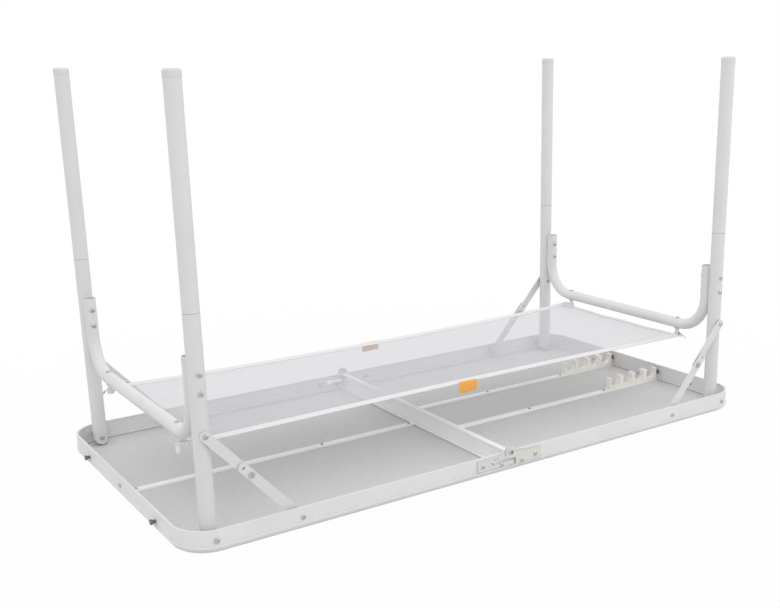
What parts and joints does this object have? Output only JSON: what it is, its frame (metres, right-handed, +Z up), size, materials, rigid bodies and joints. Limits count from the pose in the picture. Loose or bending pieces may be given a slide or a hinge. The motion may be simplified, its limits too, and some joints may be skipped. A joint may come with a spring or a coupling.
{
  "type": "folding camping table",
  "caption": "Rectangular folding camping table laid on its top: hinged two-part tray top, folding leg pairs with pull-off leg ends, folding stays and a stretched net shelf.",
  "frame": {"origin": "middle of the tabletop's outer face, which lies on the ground", "axes": "+X along the table from the plain end to the end with the tube clips, +Y across the table, +Z up from the tabletop to the feet"},
  "size_m": [1.2148, 0.6124, 0.7],
  "materials": {
    "frame_aluminium": "satin light grey paint on an aluminium extrusion",
    "panel_board": "matt grey faced board",
    "rib_steel": "satin light grey paint",
    "leg_aluminium": "satin light grey paint on aluminium tube",
    "foot_plastic": "matt grey plastic",
    "zinc_steel": "zinc plated",
    "rivet_steel": "zinc plated",
    "clip_plastic": "matt cream plastic",
    "stud_black": "black oxide",
    "strap_black": "matt black plastic",
    "net_fabric": "fine open mesh, lilac white",
    "hem_fabric": "white woven tape",
    "tag_orange": "plain orange woven tape"
  },
  "bodies": {
    "left_half": {"left_panel": "panel_board", "left_rim": "frame_aluminium", "left_cross_rail": "frame_aluminium", "left_rib": "rib_steel", "left_hinge_plates": "zinc_steel", "hinge_bolts": "zinc_steel", "left_hinge_rivets": "rivet_steel", "left_leg_pivots": "rivet_steel", "left_stay_rail_pivots": "rivet_steel", "closing_studs": "stud_black", "shelf_net": "net_fabric", "net_hems": "hem_fabric", "net_tags": "tag_orange"},
    "right_half": {"right_panel": "panel_board", "right_rim": "frame_aluminium", "right_cross_rail": "frame_aluminium", "right_ribs": "rib_steel", "tube_clips": "clip_plastic", "right_hinge_plates": "zinc_steel", "right_hinge_rivets": "rivet_steel", "right_leg_pivots": "rivet_steel", "right_stay_rail_pivots": "rivet_steel", "closing_hook_pivots": "rivet_steel", "carry_strap": "strap_black", "carry_strap_ends": "strap_black", "carry_strap_screws": "rivet_steel"},
    "left_leg_frame": {"near_left_leg_tube": "leg_aluminium", "far_left_leg_tube": "leg_aluminium", "left_cross_bar": "leg_aluminium", "left_bar_rivets": "rivet_steel", "left_stay_leg_pivots": "rivet_steel", "left_net_buttons": "clip_plastic", "left_net_screws": "rivet_steel", "left_net_loops": "hem_fabric"},
    "near_left_extension": {"near_left_extension_tube": "leg_aluminium", "near_left_foot_cap": "foot_plastic"},
    "far_left_extension": {"far_left_extension_tube": "leg_aluminium", "far_left_foot_cap": "foot_plastic"},
    "left_stay_upper": {"left_upper_stays": "zinc_steel"},
    "left_stay_lower": {"left_lower_stays": "zinc_steel"},
    "right_leg_frame": {"near_right_leg_tube": "leg_aluminium", "far_right_leg_tube": "leg_aluminium", "right_cross_bar": "leg_aluminium", "right_bar_rivets": "rivet_steel", "right_stay_leg_pivots": "rivet_steel", "right_net_buttons": "clip_plastic", "right_net_screws": "rivet_steel", "right_net_loops": "hem_fabric"},
    "near_right_extension": {"near_right_extension_tube": "leg_aluminium", "near_right_foot_cap": "foot_plastic"},
    "far_right_extension": {"far_right_extension_tube": "leg_aluminium", "far_right_foot_cap": "foot_plastic"},
    "right_stay_upper": {"right_upper_stays": "zinc_steel"},
    "right_stay_lower": {"right_lower_stays": "zinc_steel"},
    "near_hook": {"near_closing_hook": "zinc_steel"},
    "far_hook": {"far_closing_hook": "zinc_steel"}
  },
  "joints": [
    {"name": "table_fold", "type": "hinge", "parent": "left_half", "child": "right_half", "pos_m": [0, 0, 0.037], "axis": [0, 1, 0], "range_deg": [-72, 0], "deforming": ["shelf_net", "net_hems", "net_tags"]},
    {"name": "left_leg_fold", "type": "hinge", "parent": "left_half", "child": "left_leg_frame", "pos_m": [-0.55, 0, 0.02], "axis": [0, 1, 0], "range_deg": [0, 86], "deforming": ["shelf_net", "net_hems", "net_tags"]},
    {"name": "right_leg_fold", "type": "hinge", "parent": "right_half", "child": "right_leg_frame", "pos_m": [0.55, 0, 0.02], "axis": [0, -1, 0], "range_deg": [0, 78], "deforming": ["shelf_net", "net_hems", "net_tags"]},
    {"name": "near_left_extension_pull", "type": "slide", "parent": "left_leg_frame", "child": "near_left_extension", "axis": [0, 0, -1], "range_m": [-0.055, 0]},
    {"name": "far_left_extension_pull", "type": "slide", "parent": "left_leg_frame", "child": "far_left_extension", "axis": [0, 0, -1], "range_m": [-0.055, 0]},
    {"name": "left_lower_stay_fold", "type": "hinge", "parent": "left_half", "child": "left_stay_lower", "pos_m": [-0.407, 0, 0.02], "axis": [0, 1, 0], "range_deg": [0, 127.2]},
    {"name": "left_upper_stay_fold", "type": "hinge", "parent": "left_leg_frame", "child": "left_stay_upper", "pos_m": [-0.55, 0, 0.18], "axis": [0, 1, 0], "range_deg": [-133.5, 0]},
    {"name": "near_right_extension_pull", "type": "slide", "parent": "right_leg_frame", "child": "near_right_extension", "axis": [0, 0, -1], "range_m": [-0.055, 0]},
    {"name": "far_right_extension_pull", "type": "slide", "parent": "right_leg_frame", "child": "far_right_extension", "axis": [0, 0, -1], "range_m": [-0.055, 0]},
    {"name": "right_lower_stay_fold", "type": "hinge", "parent": "right_half", "child": "right_stay_lower", "pos_m": [0.407, 0, 0.02], "axis": [0, -1, 0], "range_deg": [0, 117.6]},
    {"name": "right_upper_stay_fold", "type": "hinge", "parent": "right_leg_frame", "child": "right_stay_upper", "pos_m": [0.55, 0, 0.18], "axis": [0, -1, 0], "range_deg": [-123.7, 0]},
    {"name": "near_hook_swing", "type": "hinge", "parent": "right_half", "child": "near_hook", "pos_m": [0.5984, -0.17, 0.018], "axis": [1, 0, 0], "range_deg": [0, 90]},
    {"name": "far_hook_swing", "type": "hinge", "parent": "right_half", "child": "far_hook", "pos_m": [0.5984, 0.17, 0.018], "axis": [-1, 0, 0], "range_deg": [0, 90]}
  ],
  "couplings": [
    {"joint": "left_lower_stay_fold", "follows": "left_leg_fold", "ratio": 1.4769},
    {"joint": "left_upper_stay_fold", "follows": "left_leg_fold", "ratio": -1.5503},
    {"joint": "right_lower_stay_fold", "follows": "right_leg_fold", "ratio": 1.5059},
    {"joint": "right_upper_stay_fold", "follows": "right_leg_fold", "ratio": -1.5839}
  ]
}
